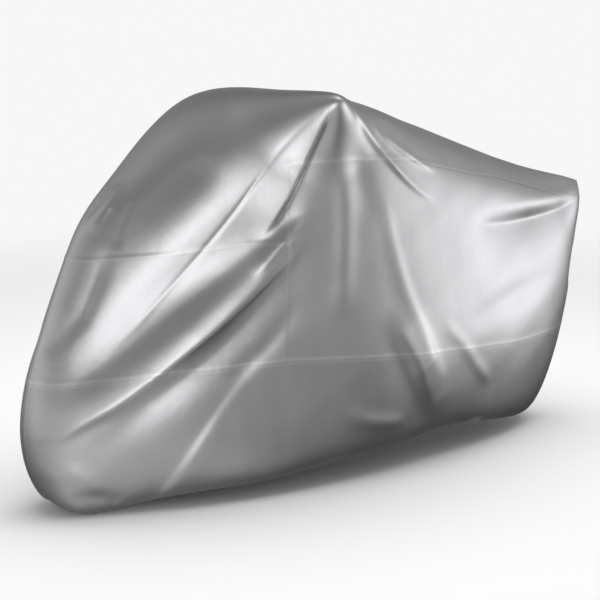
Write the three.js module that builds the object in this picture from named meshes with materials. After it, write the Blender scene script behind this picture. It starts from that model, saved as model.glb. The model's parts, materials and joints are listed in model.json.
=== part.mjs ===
// Motorcycle cover: seven cut panels of coated polyester, sewn into one fitted hood.
// Millimetres, +Z up. The nose (front wheel) is at -X, the tail at +X, and -Y is the
// motorcycle's left-hand side. The origin lies under the middle of the cover, at hem height.
//
// The cloth is stretched over the bar ends, falls round both wheels and is turned under at
// the hem by its elastic. One smooth form carries all panels; folds are pushed into it, and
// the panels are then cut along the seams.
import * as THREE from 'three';

// ---------------------------------------------------------------- driving dimensions
const COVER = { length: 2300, width: 752, height: 1272 };
const CLOTH_THICKNESS = 2;
const SEAM_GAP = 0.3;
const CLOTH_COLOUR = 0xb5b5b7;

// Mesh steps along one side, and rows in each band between seams.
const SIDE_STEPS = 42;
const BAND_ROWS = { skirt: 9, flank: 7, shoulder: 4, crown: 6 };

// ---------------------------------------------------------------- the draped form
// Eight levels run round the cover, from the hem's inner edge up to the spine.
// front and rear: where the level crosses the nose seam and the tail seam.
const LEVELS = [
  { name: 'hem', front: -960, rear: 880 },
  { name: 'roll', front: -1075, rear: 955 },
  { name: 'calf', front: -1160, rear: 1060 },
  { name: 'waist', front: -1110, rear: 1130 },
  { name: 'hip', front: -1005, rear: 1150 },
  { name: 'chest', front: -955, rear: 1195 },
  { name: 'crest', front: -910, rear: 1200 },
  { name: 'spine', front: -880, rear: 1195 },
];

// Eleven cross-sections from nose (at 0) to tail (at 1). Each level column holds
// [half width, height] of the section's control point on that level.
const SECTIONS = [
  { at: 0, hem: [0, 60], roll: [0, 10], calf: [0, 210], waist: [0, 450],
    hip: [0, 700], chest: [0, 820], crest: [0, 870], spine: [0, 890] },
  { at: 0.022, hem: [65, 20], roll: [105, -75], calf: [125, 205], waist: [107, 450],
    hip: [88, 700], chest: [85, 840], crest: [65, 925], spine: [0, 945] },
  { at: 0.1, hem: [100, 25], roll: [150, -10], calf: [185, 130], waist: [185, 440],
    hip: [185, 710], chest: [175, 890], crest: [140, 1060], spine: [0, 1120] },
  { at: 0.2, hem: [165, 55], roll: [225, 10], calf: [265, 150], waist: [285, 440],
    hip: [280, 730], chest: [285, 1010], crest: [230, 1245], spine: [0, 1295] },
  { at: 0.32, hem: [205, 75], roll: [295, 5], calf: [320, 180], waist: [325, 440],
    hip: [335, 750], chest: [340, 1080], crest: [300, 1255], spine: [0, 1260] },
  { at: 0.42, hem: [215, 85], roll: [295, 35], calf: [340, 190], waist: [365, 440],
    hip: [370, 760], chest: [350, 1090], crest: [300, 1230], spine: [0, 1230] },
  { at: 0.54, hem: [215, 95], roll: [300, 32], calf: [340, 200], waist: [385, 430],
    hip: [345, 750], chest: [300, 1020], crest: [190, 1125], spine: [0, 1165] },
  { at: 0.7, hem: [185, 130], roll: [250, 78], calf: [290, 210], waist: [320, 430],
    hip: [275, 720], chest: [235, 930], crest: [130, 1010], spine: [0, 1055] },
  { at: 0.82, hem: [150, 110], roll: [215, 20], calf: [235, 180], waist: [255, 420],
    hip: [210, 680], chest: [180, 845], crest: [100, 920], spine: [0, 965] },
  { at: 0.955, hem: [60, 95], roll: [105, -25], calf: [120, 170], waist: [125, 410],
    hip: [130, 640], chest: [110, 790], crest: [55, 865], spine: [0, 905] },
  { at: 1, hem: [0, 95], roll: [0, 10], calf: [0, 180], waist: [0, 410],
    hip: [0, 630], chest: [0, 785], crest: [0, 845], spine: [0, 865] },
];

// The handlebar ends pull the cloth out to a point on each side. The bars are turned a
// little, so the two points aren't alike.
const BAR_ENDS = [
  { at: [-240, -300, 1225], pull: [0, -140, 58], reach: 260 },
  { at: [-205, 300, 1215], pull: [10, 80, 35], reach: 260 },
];

// Main folds. side -1 is the left-hand side (-Y). from, via and to are [along 0..1, level
// 0..7] on the cloth. left and right: the fold's reach on each hand, looking from `from` to
// `to` from outside. rise: height at its start, middle and end, below 0 for a trough.
const FOLDS = [
  { name: 'bar edge', side: -1, from: [0.32, 5.77], via: [0.29, 4.95], to: [0.25, 4.3],
    left: 42, right: 72, rise: [2, 8, 5] },
  { name: 'band hollow', side: -1, from: [0.265, 5.2], via: [0.19, 4.5], to: [0.047, 3.23],
    left: 70, right: 70, rise: [0, -9, -7] },
  { name: 'long trough', side: -1, from: [0.31, 4.46], via: [0.178, 3.9], to: [0.015, 2.75],
    left: 60, right: 96, rise: [-8, -13, -6] },
  { name: 'big fold', side: -1, from: [0.335, 4.46], via: [0.197, 3.35], to: [0.008, 2.03],
    left: 48, right: 115, rise: [6, 22, 15] },
  { name: 'overhang', side: -1, from: [0.328, 4.22], via: [0.19, 3.29], to: [0.008, 2.02],
    left: 42, right: 60, rise: [3, 6, 5] },
  { name: 'overhang foot', side: -1, from: [0.3, 3.92], via: [0.187, 3.02], to: [0.05, 2.33],
    left: 55, right: 42, rise: [-3, -10, -5] },
  { name: 'hem ridge', side: -1, from: [0.31, 3.3], via: [0.227, 2.31], to: [0.15, 1.2],
    left: 55, right: 42, rise: [2, 6, 6] },
  { name: 'apex hollow', side: -1, from: [0.35, 5.7], via: [0.392, 4.85], to: [0.42, 4.15],
    left: 45, right: 45, rise: [2, -5, -1] },
  { name: 'seat ridge', side: -1, from: [0.445, 4.7], via: [0.51, 3.63], to: [0.633, 2.38],
    left: 42, right: 42, rise: [2, 6, 10] },
  { name: 'exhaust fold', side: -1, from: [0.483, 3.45], via: [0.579, 2.53], to: [0.68, 1.4],
    left: 75, right: 43, rise: [5, 14, 6] },
  { name: 'tank crease', side: -1, from: [0.363, 5.77], via: [0.457, 4.93], to: [0.563, 4.5],
    left: 44, right: 42, rise: [3, 8, 2] },
  { name: 'tail pocket', side: -1, from: [0.615, 4.29], via: [0.765, 4.38], to: [0.96, 5.24],
    left: 44, right: 76, rise: [-3, -18, -13] },
  { name: 'tail hollow', side: -1, from: [0.64, 3], via: [0.765, 3.33], to: [0.916, 3.7],
    left: 50, right: 50, rise: [-2, -5, 0] },
  { name: 'panel hollow', side: -1, from: [0.162, 5.5], via: [0.074, 5.2], to: [0.038, 4.22],
    left: 60, right: 60, rise: [-9, -7, 8] },
  { name: 'front hollow', side: -1, from: [0.045, 4.7], via: [0.034, 3.6], to: [0.004, 3.05],
    left: 42, right: 44, rise: [-4, -10, -4] },
  { name: 'bar edge', side: 1, from: [0.335, 5.8], via: [0.3, 5.05], to: [0.245, 4.25],
    left: 72, right: 42, rise: [2, 8, 5] },
  { name: 'band hollow', side: 1, from: [0.275, 5.2], via: [0.2, 4.5], to: [0.06, 3.3],
    left: 70, right: 70, rise: [0, -8, -6] },
  { name: 'long trough', side: 1, from: [0.3, 4.5], via: [0.185, 3.85], to: [0.03, 2.72],
    left: 92, right: 60, rise: [-7, -12, -6] },
  { name: 'big fold', side: 1, from: [0.335, 4.45], via: [0.205, 3.42], to: [0.02, 2.15],
    left: 108, right: 50, rise: [6, 19, 13] },
  { name: 'overhang', side: 1, from: [0.33, 4.3], via: [0.2, 3.35], to: [0.02, 2.15],
    left: 60, right: 42, rise: [3, 6, 4] },
  { name: 'overhang foot', side: 1, from: [0.3, 3.95], via: [0.197, 3.1], to: [0.06, 2.42],
    left: 42, right: 55, rise: [-3, -9, -5] },
  { name: 'hem ridge', side: 1, from: [0.33, 3.3], via: [0.26, 2.4], to: [0.19, 1.3],
    left: 42, right: 55, rise: [2, 6, 6] },
  { name: 'seat ridge', side: 1, from: [0.45, 4.8], via: [0.54, 3.7], to: [0.69, 2.5],
    left: 42, right: 42, rise: [2, 6, 9] },
  { name: 'exhaust fold', side: 1, from: [0.52, 3.3], via: [0.6, 2.4], to: [0.69, 1.5],
    left: 43, right: 75, rise: [4, 12, 6] },
  { name: 'tail pocket', side: 1, from: [0.66, 4.25], via: [0.79, 4.35], to: [0.955, 5.05],
    left: 76, right: 44, rise: [-3, -16, -11] },
  { name: 'front hollow', side: 1, from: [0.045, 4.7], via: [0.038, 3.7], to: [0.008, 3.1],
    left: 44, right: 42, rise: [-4, -9, -4] },
];

// A fold fades in and out over this share of its length.
const FOLD_FADE = 0.22;

// ---------------------------------------------------------------- the seams
// Heights of the seams at stations along the cover. The front flank seam and the higher
// rear shoulder seam meet at the upright seam below the bar end.
const SKIRT_SEAM = { at: [0, 0.15, 0.33, 0.8, 1], height: [407, 437, 442, 358, 350] };
const FLANK_SEAM = { at: [0, 0.13, 0.25, 0.5, 1], height: [768, 795, 818, 800, 700] };
const SHOULDER_SEAM = {
  at: [0, 0.2, 0.33, 0.47, 0.61, 0.8, 1],
  height: [850, 980, 1063, 1027, 976, 890, 800],
};
const UPRIGHT_SEAM_AT = 0.32;

// The upright seam hangs plumb although the nose leans back: stations slide forward with
// height by this share for each level above the waist.
const PLUMB_SLIDE = 0.03;
const WAIST_LEVEL = 3;

// ---------------------------------------------------------------- small helpers
const SPINE_LEVEL = LEVELS.length - 1;
const lerp = THREE.MathUtils.lerp;

function tableValue(at, values, x) {
  let k = 1;
  while (k < at.length - 1 && x > at[k]) k += 1;
  const share = THREE.MathUtils.clamp((x - at[k - 1]) / (at[k] - at[k - 1]), 0, 1);
  return lerp(values[k - 1], values[k], share);
}

// Weights of a uniform cubic B-spline between control points 1 and 2 of four.
function splineWeights(f) {
  const g = 1 - f;
  return [g ** 3 / 6, (3 * f ** 3 - 6 * f ** 2 + 4) / 6,
    (-3 * f ** 3 + 3 * f ** 2 + 3 * f + 1) / 6, f ** 3 / 6];
}

// ---------------------------------------------------------------- the smooth form
function controlPoint(section, level) {
  const { at } = SECTIONS[section];
  const { name, front, rear } = LEVELS[level];
  const [half, height] = SECTIONS[section][name];
  return new THREE.Vector3(lerp(front, rear, at), half, height);
}

// Beyond the nose, the tail and the spine the net mirrors itself; beyond the hem it runs on.
function netPoint(section, level) {
  if (level < 0) return netPoint(section, 0).multiplyScalar(2).sub(netPoint(section, 1));
  const last = SECTIONS.length - 1;
  const mirrored = section < 0 || section > last;
  const inside = THREE.MathUtils.clamp(section, 1, last - 1);
  const over = level > SPINE_LEVEL;
  const point = controlPoint(mirrored ? inside : section, over ? SPINE_LEVEL - 1 : level);
  if (mirrored !== over) point.y = -point.y;
  return point;
}

const SECTION_STATIONS = SECTIONS.map((section) => section.at);
const SECTION_NUMBERS = SECTIONS.map((section, number) => number);

function smoothPoint(along, level, side) {
  const u = tableValue(SECTION_STATIONS, SECTION_NUMBERS, along);
  const i = Math.min(Math.floor(u), SECTIONS.length - 2);
  const j = Math.min(Math.floor(level), SPINE_LEVEL - 1);
  const across = splineWeights(u - i);
  const up = splineWeights(level - j);
  const point = new THREE.Vector3();
  for (let a = 0; a < 4; a += 1) {
    for (let b = 0; b < 4; b += 1) {
      point.addScaledVector(netPoint(i + a - 1, j + b - 1), across[a] * up[b]);
    }
  }
  point.y *= side;
  return point;
}

function formPoint(along, level, side) {
  const point = smoothPoint(along, level, side);
  const pulls = BAR_ENDS.map((bar) => {
    const distance = point.distanceTo(new THREE.Vector3(...bar.at));
    const strength = Math.max(0, 1 - distance / bar.reach) ** 2;
    return new THREE.Vector3(...bar.pull).multiplyScalar(strength);
  });
  pulls.forEach((pull) => point.add(pull));
  return point;
}

// ---------------------------------------------------------------- folds
const FOLD_PIECES = 12;

// A fold's crest line: a curve through its three places, laid on the form.
function crestLine({ side, from, via, to }) {
  const line = [];
  for (let k = 0; k <= FOLD_PIECES; k += 1) {
    const s = k / FOLD_PIECES;
    const start = (1 - s) * (1 - 2 * s);
    const middle = 4 * s * (1 - s);
    const end = s * (2 * s - 1);
    const along = start * from[0] + middle * via[0] + end * to[0];
    const level = start * from[1] + middle * via[1] + end * to[1];
    line.push(formPoint(along, level, side));
  }
  return line;
}

const CRESTS = FOLDS.map((fold) => ({ ...fold, line: crestLine(fold) }));

function foldRise(fold, point, normal) {
  let nearest = { distance: Infinity };
  for (let k = 0; k < FOLD_PIECES; k += 1) {
    const start = fold.line[k];
    const step = fold.line[k + 1].clone().sub(start);
    const away = point.clone().sub(start);
    const share = THREE.MathUtils.clamp(away.dot(step) / step.lengthSq(), 0, 1);
    away.addScaledVector(step, -share);
    const distance = away.length();
    if (distance < nearest.distance) {
      const leftHand = normal.clone().cross(step).dot(away) > 0;
      nearest = { distance, leftHand, along: (k + share) / FOLD_PIECES };
    }
  }
  const reach = nearest.leftHand ? fold.left : fold.right;
  const height = tableValue([0, 0.5, 1], fold.rise, nearest.along);
  const fade = THREE.MathUtils.smoothstep(Math.min(nearest.along, 1 - nearest.along), 0, FOLD_FADE);
  return height * fade * Math.exp(-((nearest.distance / reach) ** 2));
}

const NORMAL_STEP = 0.01;

function foldedPoint(along, level, side) {
  const point = formPoint(along, level, side);
  const a = THREE.MathUtils.clamp(along, NORMAL_STEP, 1 - NORMAL_STEP);
  const l = THREE.MathUtils.clamp(level, NORMAL_STEP, SPINE_LEVEL - NORMAL_STEP);
  const alongEdge = formPoint(a + NORMAL_STEP, l, side).sub(formPoint(a - NORMAL_STEP, l, side));
  const upEdge = formPoint(a, l + NORMAL_STEP, side).sub(formPoint(a, l - NORMAL_STEP, side));
  const normal = alongEdge.cross(upEdge).multiplyScalar(-side).normalize();
  // The nose, the tail and the spine are shared by both sides, so there the normal is level.
  if (along === 0 || along === 1 || level === SPINE_LEVEL) normal.setY(0).normalize();
  const rise = CRESTS.reduce((sum, fold) => sum + foldRise(fold, point, normal), 0);
  return point.addScaledVector(normal, rise);
}

// ---------------------------------------------------------------- rows and columns
// The level at which the form reaches a height, found by halving. The search starts above
// the hem's roll, where the form climbs steadily.
const LOWEST_SEAM_LEVEL = 1.3;
const HALVINGS = 24;

function levelAtHeight(along, height) {
  let low = LOWEST_SEAM_LEVEL;
  let high = SPINE_LEVEL;
  for (let k = 0; k < HALVINGS; k += 1) {
    const middle = (low + high) / 2;
    if (smoothPoint(along, middle, 1).z < height) low = middle;
    else high = middle;
  }
  return (low + high) / 2;
}

const BANDS = Object.values(BAND_ROWS);
const ROWS = BANDS.reduce((sum, rows) => sum + rows, 0);
const SEAM_ROWS = {
  hem: 0,
  skirt: BAND_ROWS.skirt,
  flank: BAND_ROWS.skirt + BAND_ROWS.flank,
  shoulder: ROWS - BAND_ROWS.crown,
  spine: ROWS,
};
const UPRIGHT_COLUMN = Math.round(UPRIGHT_SEAM_AT * SIDE_STEPS);

// Columns stand a little closer at the nose and the tail, where the form turns.
const COLUMN_CROWDING = 0.02;

function columnStation(column) {
  const s = column / SIDE_STEPS;
  return s - COLUMN_CROWDING * Math.sin(2 * Math.PI * s);
}

// At the nose and the tail the spine ends in a point, where levels crowd together: the crown's
// rows spread there by the square root of their share.
const POINT_REACH = 0.14;
const POINT_SPREAD = 0.5;

function rowLevel(station, row) {
  const seams = [SKIRT_SEAM, FLANK_SEAM, SHOULDER_SEAM].map((seam) => (
    levelAtHeight(station, tableValue(seam.at, seam.height, station))));
  if (row <= SEAM_ROWS.shoulder) {
    return tableValue(Object.values(SEAM_ROWS), [0, ...seams, SPINE_LEVEL], row);
  }
  const nearEnd = THREE.MathUtils.smoothstep(Math.min(station, 1 - station), 0, POINT_REACH);
  const share = (ROWS - row) / BAND_ROWS.crown;
  return lerp(SPINE_LEVEL, seams[2], share ** lerp(POINT_SPREAD, 1, nearEnd));
}

// Vertex (column, row): columns run from the nose along the left-hand side to the tail and
// back along the right-hand side. On the spine both sides share their vertices.
const COLUMNS = 2 * SIDE_STEPS;

function vertexKey(column, row) {
  const wrapped = column % COLUMNS;
  return (row === ROWS ? Math.min(wrapped, COLUMNS - wrapped) : wrapped) * (ROWS + 1) + row;
}

function clothVertex(column, row) {
  const wrapped = column % COLUMNS;
  const side = wrapped <= SIDE_STEPS ? -1 : 1;
  const station = columnStation(side < 0 ? wrapped : COLUMNS - wrapped);
  const level = rowLevel(station, row);
  const slide = PLUMB_SLIDE * (level - WAIST_LEVEL) * Math.sin(Math.PI * station);
  const along = THREE.MathUtils.clamp(station - slide, 0, 1);
  return foldedPoint(along, level, side);
}

// All outer vertices, scaled to the cover's overall size and stood on its reference point.
function clothVertices() {
  const vertices = new Map();
  for (let column = 0; column < COLUMNS; column += 1) {
    for (let row = 0; row <= ROWS; row += 1) {
      const key = vertexKey(column, row);
      if (!vertices.has(key)) vertices.set(key, clothVertex(column, row));
    }
  }
  const box = new THREE.Box3().setFromPoints([...vertices.values()]);
  const size = box.getSize(new THREE.Vector3());
  const scale = new THREE.Vector3(COVER.length, COVER.width, COVER.height).divide(size);
  const foot = box.getCenter(new THREE.Vector3()).setZ(box.min.z);
  vertices.forEach((vertex) => vertex.sub(foot).multiply(scale));
  return vertices;
}

const VERTICES = clothVertices();

function cellKeys(column, row) {
  return [vertexKey(column, row), vertexKey(column + 1, row),
    vertexKey(column + 1, row + 1), vertexKey(column, row + 1)];
}

// Outward normals of the whole cloth, so neighbouring panels lean the same way at a seam.
function clothNormals() {
  const normals = new Map([...VERTICES.keys()].map((key) => [key, new THREE.Vector3()]));
  for (let column = 0; column < COLUMNS; column += 1) {
    for (let row = 0; row < ROWS; row += 1) {
      const keys = cellKeys(column, row);
      const [a, b, c, d] = keys.map((key) => VERTICES.get(key));
      const facing = c.clone().sub(a).cross(d.clone().sub(b));
      keys.forEach((key) => normals.get(key).add(facing));
    }
  }
  normals.forEach((normal) => normal.normalize());
  return normals;
}

const NORMALS = clothNormals();

// ---------------------------------------------------------------- cutting the panels
// Directions away from the panel's cut edges, for the gap at its seams. Edges along a row
// and edges along a column are averaged apart, so a corner moves away from both.
function seamShifts(cutEdges) {
  const sums = new Map();
  cutEdges.forEach(({ from, to, kind }) => {
    const edge = VERTICES.get(to).clone().sub(VERTICES.get(from)).normalize();
    [from, to].forEach((key) => {
      const inward = NORMALS.get(key).clone().cross(edge).normalize();
      if (!sums.has(key)) sums.set(key, { row: new THREE.Vector3(), column: new THREE.Vector3() });
      sums.get(key)[kind].add(inward);
    });
  });
  const shifts = new Map();
  sums.forEach(({ row, column }, key) => {
    const shift = row.normalize().add(column.normalize());
    shifts.set(key, shift.multiplyScalar(SEAM_GAP / 2));
  });
  return shifts;
}

function panelGeometry(cells) {
  const quads = cells.map(([column, row]) => cellKeys(column, row));
  const used = new Set();
  quads.forEach((keys) => keys.forEach((key, k) => used.add(`${key}>${keys[(k + 1) % 4]}`)));
  const freeEdges = [];
  quads.forEach((keys, number) => {
    keys.forEach((from, k) => {
      const to = keys[(k + 1) % 4];
      const atHem = cells[number][1] === 0 && k === 0;
      if (!used.has(`${to}>${from}`)) {
        freeEdges.push({ from, to, kind: k % 2 === 0 ? 'row' : 'column', atHem });
      }
    });
  });

  const shifts = seamShifts(freeEdges.filter((edge) => !edge.atHem));
  const positions = [];
  const outer = new Map();
  new Set(quads.flat()).forEach((key) => {
    outer.set(key, outer.size);
    const place = VERTICES.get(key).clone();
    if (shifts.has(key)) place.add(shifts.get(key));
    const inside = place.clone().addScaledVector(NORMALS.get(key), -CLOTH_THICKNESS);
    positions.push(...place.toArray(), ...inside.toArray());
  });
  const face = (key) => 2 * outer.get(key);
  const back = (key) => 2 * outer.get(key) + 1;

  const indices = [];
  quads.forEach(([a, b, c, d]) => {
    indices.push(face(a), face(b), face(c), face(a), face(c), face(d));
    indices.push(back(a), back(c), back(b), back(a), back(d), back(c));
  });
  // Both panels at a seam split its edge strips along the same diagonal.
  freeEdges.forEach(({ from, to }) => {
    if (from < to) indices.push(face(from), back(from), back(to), face(from), back(to), face(to));
    else indices.push(face(from), back(from), face(to), face(to), back(from), back(to));
  });

  const geometry = new THREE.BufferGeometry();
  geometry.setAttribute('position', new THREE.Float32BufferAttribute(positions, 3));
  geometry.setIndex(indices);
  geometry.computeVertexNormals();
  return geometry;
}

// Cells between two columns and two rows.
function block(firstColumn, lastColumn, firstRow, lastRow) {
  const cells = [];
  for (let column = firstColumn; column < lastColumn; column += 1) {
    for (let row = firstRow; row < lastRow; row += 1) cells.push([column, row]);
  }
  return cells;
}

// ---------------------------------------------------------------- the panels
const { hem, skirt, flank, shoulder, spine } = SEAM_ROWS;
const TAIL = SIDE_STEPS;
const LEFT_UPRIGHT = UPRIGHT_COLUMN;
const RIGHT_UPRIGHT = COLUMNS - UPRIGHT_COLUMN;

const PANELS = [
  { name: 'top_panel',
    cells: [
      ...block(0, COLUMNS, shoulder, spine),
      ...block(0, LEFT_UPRIGHT, flank, shoulder),
      ...block(RIGHT_UPRIGHT, COLUMNS, flank, shoulder),
    ] },
  { name: 'side_front_left', cells: block(0, LEFT_UPRIGHT, skirt, flank) },
  { name: 'side_rear_left', cells: block(LEFT_UPRIGHT, TAIL, skirt, shoulder) },
  { name: 'side_rear_right', cells: block(TAIL, RIGHT_UPRIGHT, skirt, shoulder) },
  { name: 'side_front_right', cells: block(RIGHT_UPRIGHT, COLUMNS, skirt, flank) },
  { name: 'skirt_left', cells: block(0, TAIL, hem, skirt) },
  { name: 'skirt_right', cells: block(TAIL, COLUMNS, hem, skirt) },
];

function panelMesh({ name, cells }) {
  const cloth = new THREE.MeshStandardMaterial({ color: CLOTH_COLOUR, metalness: 0.6, roughness: 0.4 });
  const mesh = new THREE.Mesh(panelGeometry(cells), cloth);
  mesh.name = name;
  return mesh;
}

const cover = new THREE.Group();
PANELS.forEach((panel) => cover.add(panelMesh(panel)));

export default cover;
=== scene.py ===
# %% [markdown]
# # A motorcycle cover of silver coated cloth
#
# The real thing is a fitted hood of thin woven polyester with a silver coating. It is pulled
# over a motorcycle, so the bar ends push it up to a point on each side, the roof falls from
# there to the tail, and an elastic in the hem draws the skirt in under both wheels.
#
# Nothing in it is flat, and nothing is stiff. So the whole lesson is about one smooth form,
# the folds that are pushed into it, and the panels that are cut from it along their seams.

# %% Load the frame
import json
import math

import bmesh
import bpy
import numpy as np
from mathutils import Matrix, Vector


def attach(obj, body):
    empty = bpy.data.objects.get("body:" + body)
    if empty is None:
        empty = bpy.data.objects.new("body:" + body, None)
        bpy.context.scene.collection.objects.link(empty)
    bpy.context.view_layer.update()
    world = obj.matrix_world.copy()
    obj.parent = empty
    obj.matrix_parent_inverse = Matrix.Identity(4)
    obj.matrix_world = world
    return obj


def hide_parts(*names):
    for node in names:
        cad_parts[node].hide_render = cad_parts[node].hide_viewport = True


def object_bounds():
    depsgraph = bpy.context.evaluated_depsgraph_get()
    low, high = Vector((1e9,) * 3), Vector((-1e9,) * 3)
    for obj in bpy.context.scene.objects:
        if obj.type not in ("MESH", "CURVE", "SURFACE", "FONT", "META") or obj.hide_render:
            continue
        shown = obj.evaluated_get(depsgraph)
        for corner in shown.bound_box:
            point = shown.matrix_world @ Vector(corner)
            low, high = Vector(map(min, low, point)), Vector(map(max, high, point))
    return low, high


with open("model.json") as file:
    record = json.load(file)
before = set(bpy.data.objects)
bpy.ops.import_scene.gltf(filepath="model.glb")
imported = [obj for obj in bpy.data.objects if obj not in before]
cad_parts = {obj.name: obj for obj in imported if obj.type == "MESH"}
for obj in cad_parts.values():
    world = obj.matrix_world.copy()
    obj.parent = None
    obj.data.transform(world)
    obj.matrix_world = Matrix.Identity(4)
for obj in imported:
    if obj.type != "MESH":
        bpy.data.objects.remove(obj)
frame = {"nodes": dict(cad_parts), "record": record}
CAD_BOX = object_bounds()
BOX_LOW, BOX_HIGH = (np.array(corner) for corner in CAD_BOX)
BOX_SIZE = BOX_HIGH - BOX_LOW
print("cover, metres:", BOX_SIZE.round(3), "panels:", sorted(frame["nodes"]))

# %% [markdown]
# ## Where the viewer stands
#
# The cover is seen from its front left, from a little above, as a grown person would see it
# from a few steps away. A long lens keeps the near wheel from looking larger than the far
# one. The place is worked out from the cover's own length and height.

# %% The camera
VIEW_AZIMUTH = -35.0
VIEW_ELEVATION = 11.0
VIEW_DISTANCE = 2.174 * float(BOX_SIZE[0])
LENS = 89.3
SENSOR_WIDTH = 36.0
# shares of the cover's length and height, and metres off its middle
AIM_ALONG, AIM_UP, AIM_ACROSS = 0.4415, 0.438, 0.013


def compass(azimuth, elevation):
    """A direction: degrees round from the left-hand side towards the tail, and degrees up."""
    around, up = math.radians(azimuth), math.radians(elevation)
    level = math.cos(up)
    return Vector((math.sin(around) * level, -math.cos(around) * level, math.sin(up)))


aim = Vector((BOX_LOW[0] + AIM_ALONG * BOX_SIZE[0], AIM_ACROSS, AIM_UP * BOX_SIZE[2]))
towards_viewer = compass(VIEW_AZIMUTH, VIEW_ELEVATION)
camera_data = bpy.data.cameras.new("viewer")
camera_data.lens = LENS
camera_data.sensor_width = SENSOR_WIDTH
camera = bpy.data.objects.new("viewer", camera_data)
camera.location = aim + VIEW_DISTANCE * towards_viewer
camera.rotation_euler = (-towards_viewer).to_track_quat("-Z", "Y").to_euler()
bpy.context.scene.collection.objects.link(camera)
bpy.context.scene.camera = camera
print("camera at", [round(c, 2) for c in camera.location])

# %% [markdown]
# ## Nodes, the short way
#
# The room, the floor and the cloth are all finished with shader nodes. Making one takes the
# same three steps each time: create it, set it, link it. Two helpers do all three in a line.

# %% Helpers for nodes
def add_node(tree, kind, inputs=None, **settings):
    """A new node. Its inputs are given numbers or colours, or sockets to link to."""
    node = tree.nodes.new("ShaderNode" + kind)
    for name, value in settings.items():
        setattr(node, name, value)
    for name, value in (inputs or {}).items():
        if isinstance(value, bpy.types.NodeSocket):
            tree.links.new(value, node.inputs[name])
        else:
            node.inputs[name].default_value = value
    return node


def calculate(tree, operation, first, second):
    """One step of arithmetic on sockets or numbers."""
    return add_node(tree, "Math", {0: first, 1: second}, operation=operation).outputs[0]


def new_finish(name, inputs):
    """A material, its node tree, and its shader with some inputs set."""
    finish = bpy.data.materials.new(name)
    finish.use_nodes = True
    shader = finish.node_tree.nodes["Principled BSDF"]
    for socket, value in inputs.items():
        shader.inputs[socket].default_value = value
    return finish, finish.node_tree, shader


# %% [markdown]
# ## Light for a coated cloth
#
# The coating is a weak mirror: it shows broad, blurred pictures of what stands round it. A
# few small lamps would leave hard spots on it. So the whole room is made of light here: dark
# below, grey from the horizon up, with a few soft boxes in it. Each soft box is a lobe: full
# in its middle, and falling off with a power of the cosine.
#
# The wall that the viewer looks at is paler than the room that lights the cloth. The world
# shader does that by asking whether a ray comes straight from the viewer.

# %% The room
WALL_TONE = (0.93, 0.93, 0.93)
ROOM_TONES = [
    # height of the direction, -1 straight down to 1 straight up, and how bright it is
    (-1.00, 0.04),
    (-0.40, 0.05),
    (-0.10, 0.36),
    (0.15, 0.48),
    (0.50, 0.27),
    (1.00, 0.38),
]
SOFT_BOXES = [
    # azimuth and elevation in degrees, how tightly it is bundled, how bright its middle is
    (-17, 0, 34, 3.2),
    (56, -9, 21, 1.1),
    (76, -3, 34, 2.4),
    (83, 59, 19, 2.2),
    (11, -35, 40, 0.65),
    (-44, -32, 4, 0.85),
    (-112, -4, 5, 0.55),
    (-158, 22, 8, 0.4),
    (98, 22, 12, 0.25),
    (165, -57, 4, 0.3),
]

bpy.context.scene.view_settings.view_transform = "Standard"
world = bpy.data.worlds.new("room")
world.use_nodes = True
bpy.context.scene.world = world
room = world.node_tree
direction = add_node(room, "TexCoord").outputs["Generated"]


def soft_box(azimuth, elevation, bundle, glow):
    """The light that one soft box sends from each direction."""
    facing = add_node(room, "VectorMath", {0: direction, 1: compass(azimuth, elevation)},
                      operation="DOT_PRODUCT")
    towards = calculate(room, "MAXIMUM", facing.outputs["Value"], 0.0)
    return calculate(room, "MULTIPLY", calculate(room, "POWER", towards, bundle), glow)


vertical = add_node(room, "SeparateXYZ", {0: direction}).outputs["Z"]
height_share = calculate(room, "MULTIPLY", calculate(room, "ADD", vertical, 1.0), 0.5)
ramp = add_node(room, "ValToRGB", {"Fac": height_share})
while len(ramp.color_ramp.elements) < len(ROOM_TONES):
    ramp.color_ramp.elements.new(0.5)
for stop, (height, tone) in zip(ramp.color_ramp.elements, ROOM_TONES):
    stop.position = (height + 1) / 2
    stop.color = (tone, tone, tone, 1)
light = ramp.outputs["Color"]
for box in SOFT_BOXES:
    light = calculate(room, "ADD", light, soft_box(*box))

straight_on = add_node(room, "LightPath").outputs["Is Camera Ray"]
wall_or_room = add_node(room, "Mix", {"Factor": straight_on, "A": light, "B": (*WALL_TONE, 1)},
                        data_type="RGBA")
room.links.new(wall_or_room.outputs["Result"], room.nodes["Background"].inputs["Color"])
print(len(SOFT_BOXES), "soft boxes in the room")

# %% [markdown]
# The floor is a pale disc that thins out to nothing a few metres away, so it has no edge and
# no horizon, only the soft shadow under the cover. The coating doesn't mirror it: below the
# horizon the cloth mirrors the room's own dark lower half.

# %% The floor
FLOOR_TONE = (0.93, 0.93, 0.93)
FLOOR_RADIUS = 6.0
FLOOR_SOLID = 2.4
FLOOR_CORNERS = 64
FLOOR_GAP = 0.001

turns = [math.tau * k / FLOOR_CORNERS for k in range(FLOOR_CORNERS)]
rim = [(FLOOR_RADIUS * math.cos(turn), FLOOR_RADIUS * math.sin(turn), 0) for turn in turns]
floor_mesh = bpy.data.meshes.new("floor")
floor_mesh.from_pydata(rim, [], [tuple(range(FLOOR_CORNERS))])
floor = bpy.data.objects.new("floor", floor_mesh)
floor.location.z = BOX_LOW[2] - FLOOR_GAP
floor.visible_glossy = False
bpy.context.scene.collection.objects.link(floor)

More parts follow.
